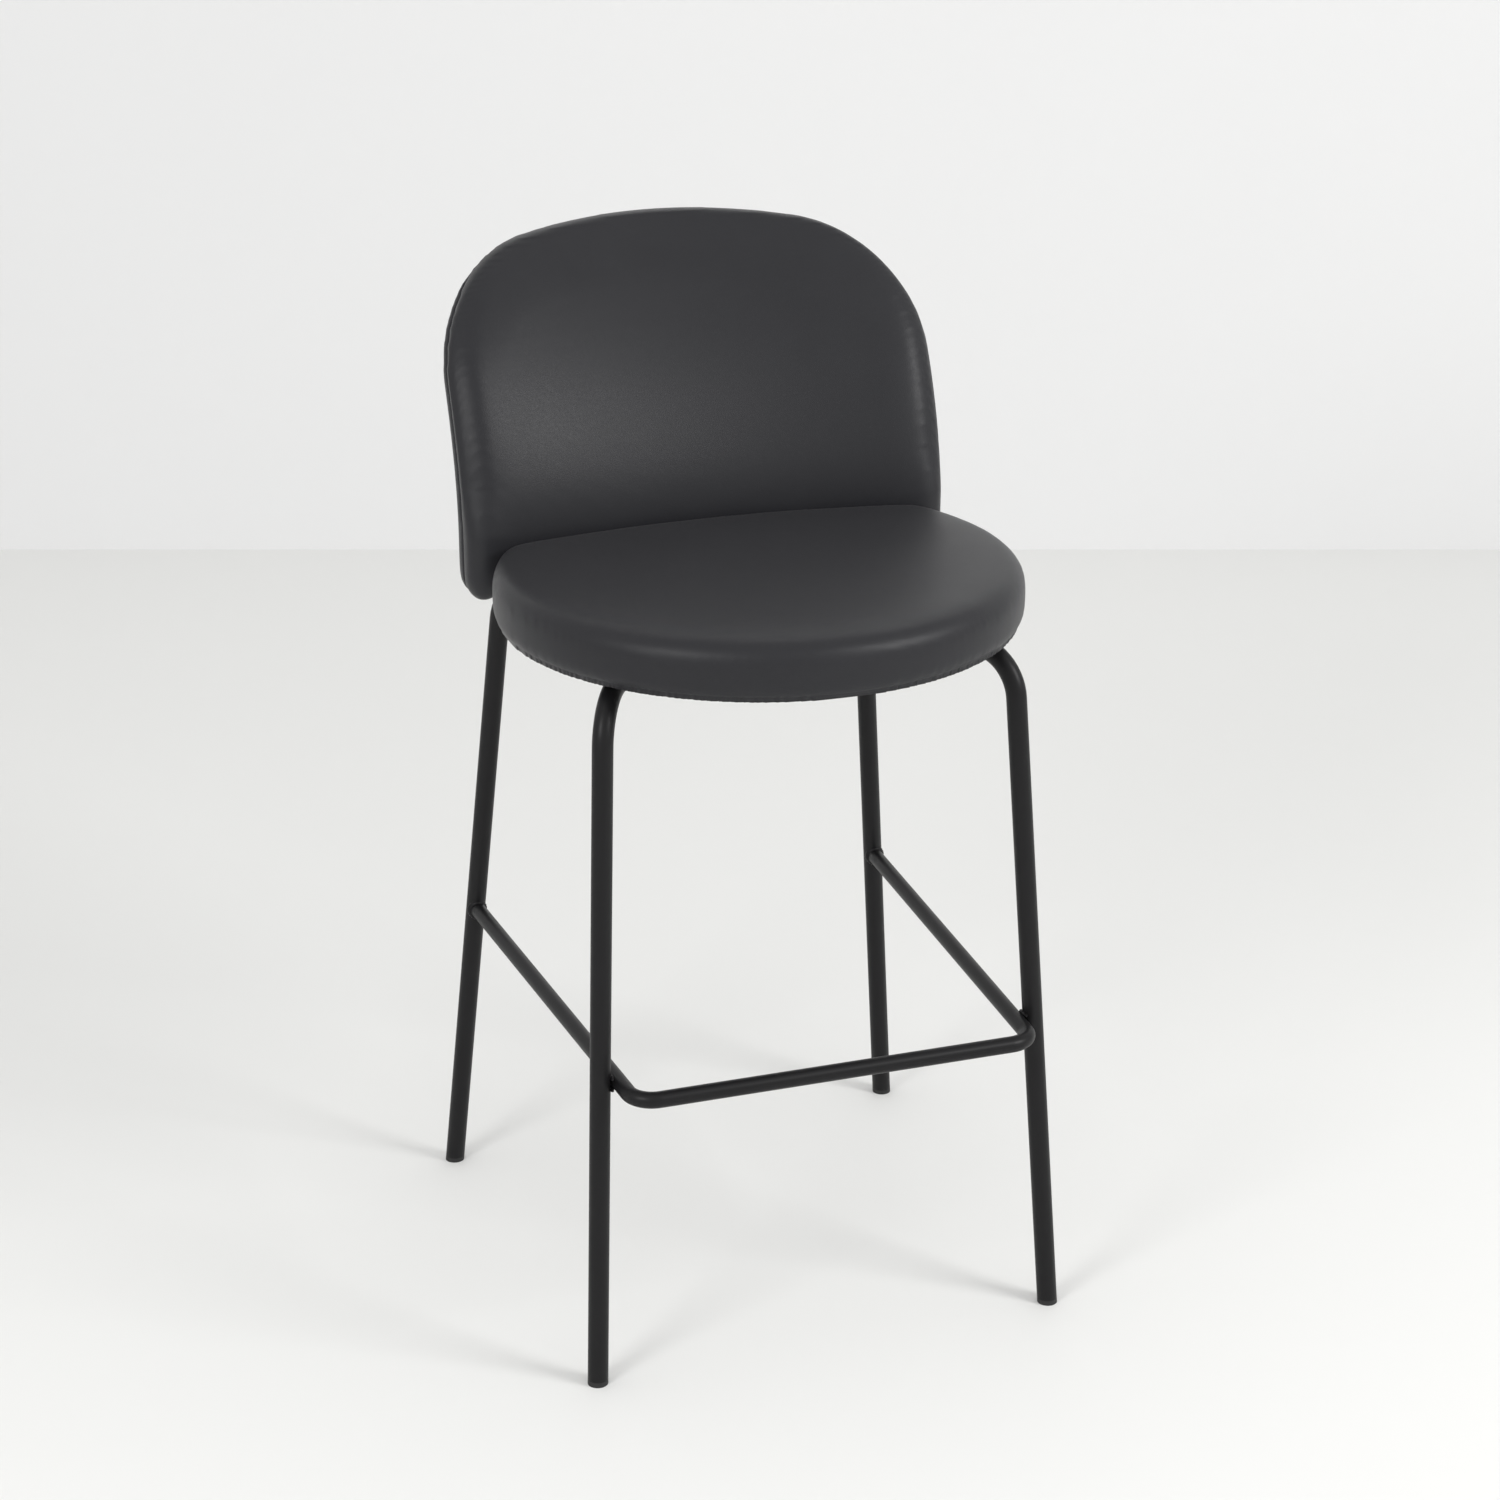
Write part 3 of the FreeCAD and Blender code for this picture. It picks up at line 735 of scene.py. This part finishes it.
def staples():
    """Upholstery staples round the edge of the cloth: one bevelled wire crown, copied."""
    deselect()
    bpy.ops.mesh.primitive_cube_add(size=1.0, scale=STAPLE_SIZE)
    first = settle(named_active("staple_0"))
    finish_modifier(first, "BEVEL", width=0.00025, segments=2)
    wires = []
    for index in range(STAPLE_COUNT):
        angle = 2 * math.pi * (index + 0.5) / STAPLE_COUNT
        x, y = cloth_edge(angle, STAPLE_INSET)
        nx, ny = cloth_edge(angle + 0.02, STAPLE_INSET)
        wire = bpy.data.objects.new(f"staple_{index + 1}", first.data.copy())
        scene.collection.objects.link(wire)
        wire.location = (x, y, CLOTH_HEIGHT - 0.0006)
        wire.rotation_euler = (0, 0, math.atan2(ny - y, nx - x) + 0.18 * math.sin(index * 2.4))
        wires.append(settle(wire))
    bpy.data.objects.remove(first)
    return joined(wires, "underside_staples")


# ---------------------------------------------------------------- weld beads
# Each leg's centre line: its place across and along at the floor, and its lean per metre of height.
FRONT_LEG_X, FRONT_LEAN_X = 0.2365, 0.0481
FRONT_LEG_Y, FRONT_LEAN_Y = -0.2542, 0.0809
REAR_LEG_X, REAR_LEAN_X = 0.2500, 0.0827
REAR_LEG_Y, REAR_LEAN_Y = 0.2402, 0.0872
WELD_RING_RADIUS = 0.0085
LEG_RADIUS = 0.010


def weld_bead(name, centre, size, turn=0.0):
    """A short run of weld metal, thick in the middle and rippled along its length."""
    deselect()
    bpy.ops.mesh.primitive_uv_sphere_add(segments=24, ring_count=14, radius=1.0, location=centre)
    bead = named_active(name)
    bead.scale = size
    bead.rotation_euler = (0, 0, turn)
    settle(bead)
    points = points_of(bead)
    middle = np.array(centre)
    local = points - middle
    along = local @ np.array([math.cos(turn), math.sin(turn), 0.0])
    swollen = 1.0 + 0.16 * np.sin(along / max(size) * 11.0)
    length = np.outer(along, [math.cos(turn), math.sin(turn), 0.0])
    move_points(bead, middle + length + (local - length) * swollen[:, None])
    pick(bead)
    bpy.ops.object.shade_smooth()
    return bead


def weld_ring(name, centre, radius):
    """Weld run all round the end of a footrest rail."""
    deselect()
    bpy.ops.mesh.primitive_torus_add(
        major_segments=48, minor_segments=12, major_radius=radius, minor_radius=0.0022,
        location=centre, rotation=(math.pi / 2, 0, 0),
    )
    ring = settle(named_active(name))
    points = points_of(ring)
    middle = np.array(centre)
    local = points - middle
    around = np.arctan2(local[:, 2], local[:, 0])
    out = np.hypot(local[:, 0], local[:, 2]) - radius
    ripple = 1.0 + 0.14 * np.sin(around * 22)
    grown = radius + out * ripple
    across = np.minimum(np.abs(local[:, 0]), WELD_RING_RADIUS)
    bow = LEG_RADIUS - np.sqrt(np.maximum(LEG_RADIUS**2 - across**2, 0.0))
    points[:, 0] = middle[0] + grown * np.cos(around)
    points[:, 2] = middle[2] + grown * np.sin(around)
    points[:, 1] = middle[1] + local[:, 1] * ripple + bow * 0.8
    move_points(ring, points)
    pick(ring)
    bpy.ops.object.shade_smooth()
    return ring


def frame_welds():
    rest_low, rest_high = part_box("footrest")
    height = (rest_low.z + rest_high.z) / 2
    leg_x = FRONT_LEG_X - FRONT_LEAN_X * height
    leg_y = FRONT_LEG_Y + FRONT_LEAN_Y * height
    rear_x = REAR_LEG_X - REAR_LEAN_X * height
    rear_y = REAR_LEG_Y - REAR_LEAN_Y * height
    beads = []
    for side in (-1, 1):
        for up in (-1, 1):
            centre = (side * (leg_x - 0.0102), leg_y, height + up * 0.0058)
            beads.append(weld_bead("bead", centre, (0.0085, 0.0024, 0.0024), math.pi / 2))
        beads.append(weld_ring("ring", (side * rear_x, rear_y - 0.0098, height), WELD_RING_RADIUS))
    for node in ("front_mount_bar", "rear_mount_bar"):
        bar_low, bar_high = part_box(node)
        tube_x = bar_high.x - 0.012
        for side in (-1, 1):
            for y in (bar_low.y, bar_high.y):
                centre = (side * tube_x, y, bar_low.z - 0.0004)
                beads.append(weld_bead("bead", centre, (0.0080, 0.0026, 0.0024)))
    return joined(beads, "frame_welds")


for piece, material, slot in (
    (staples(), ZINC, "zinc_screws"),
    (frame_welds(), POWDER_COAT, "frame_steel"),
):
    give_finish(piece, material)
    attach(piece, "root")


# ---------------------------------------------------------------- studio
CAMERA_AZIMUTH = math.radians(19.241)
CAMERA_DROP = math.radians(20.904)
FLOOR_COLOUR = (0.83, 0.83, 0.815)
WALL_COLOUR = (0.83, 0.83, 0.83)
CAMERA_PLACE = (-1.0373, -2.9941, 1.7433)
WALL_DISTANCE = 2.35
ROOM_WIDTH = 16.0
FLOOR_DEPTH = 12.0
WALL_HEIGHT = 7.0
LIGHT_AIM = (0, 0, 0.6)
SURROUND_STRENGTH = 0.79
LENS = 81.6
SENSOR_WIDTH = 36.0


def plain_surface(name, colour, roughness):
    """Matt paint with a very slight cloudiness."""
    clouded = [0.985 * part for part in colour]
    gloss = (roughness, roughness + 0.05)
    return base_material(name, colour, clouded, gloss, 1.0, 1.5, 0.0, Specular_IOR_Level=0.15)[0]


def room_surface(name, centre, size, tilt, material):
    deselect()
    bpy.ops.mesh.primitive_plane_add(size=1.0)
    surface = named_active(name)
    surface.scale = (*size, 1.0)
    surface.rotation_euler = (tilt, 0, 0)
    settle(surface)
    surface.location = centre
    settle(surface)
    surface.rotation_euler = (0, 0, -CAMERA_AZIMUTH)
    settle(surface)
    give_finish(surface, material)


def studio():
    floor_paint = plain_surface("pale_floor", FLOOR_COLOUR, 0.6)
    floor_centre = (0, WALL_DISTANCE - FLOOR_DEPTH / 2, 0)
    room_surface("studio_floor", floor_centre, (ROOM_WIDTH, FLOOR_DEPTH), 0.0, floor_paint)
    wall_paint = plain_surface("pale_wall", WALL_COLOUR, 0.9)
    wall_centre = (0, WALL_DISTANCE, WALL_HEIGHT / 2)
    room_surface("studio_wall", wall_centre, (ROOM_WIDTH, WALL_HEIGHT), math.pi / 2, wall_paint)


def soft_light(name, place, aim, size, power):
    lamp = bpy.data.lights.new(name, "AREA")
    lamp.shape = "DISK"
    lamp.size = size
    lamp.energy = power
    obj = bpy.data.objects.new(name, lamp)
    scene.collection.objects.link(obj)
    obj.location = place
    direction = Vector(aim) - Vector(place)
    obj.rotation_euler = direction.to_track_quat("-Z", "Y").to_euler()


studio()
soft_light("key_right", (2.2, -2.3, 2.4), LIGHT_AIM, size=1.3, power=58.0)
soft_light("fill_left", (-2.6, -1.8, 2.3), LIGHT_AIM, size=1.2, power=36.0)
world = bpy.data.worlds.new("pale_surround")
world.use_nodes = True
world.node_tree.nodes["Background"].inputs["Color"].default_value = (1.0, 1.0, 1.0, 1.0)
world.node_tree.nodes["Background"].inputs["Strength"].default_value = SURROUND_STRENGTH
scene.world = world
scene.view_settings.view_transform = "Standard"

camera_data = bpy.data.cameras.new("camera")
camera_data.sensor_width = SENSOR_WIDTH
camera_data.lens = LENS
camera = bpy.data.objects.new("camera", camera_data)
scene.collection.objects.link(camera)
camera.location = CAMERA_PLACE
camera.rotation_euler = (math.pi / 2 - CAMERA_DROP, 0, -CAMERA_AZIMUTH)
scene.camera = camera
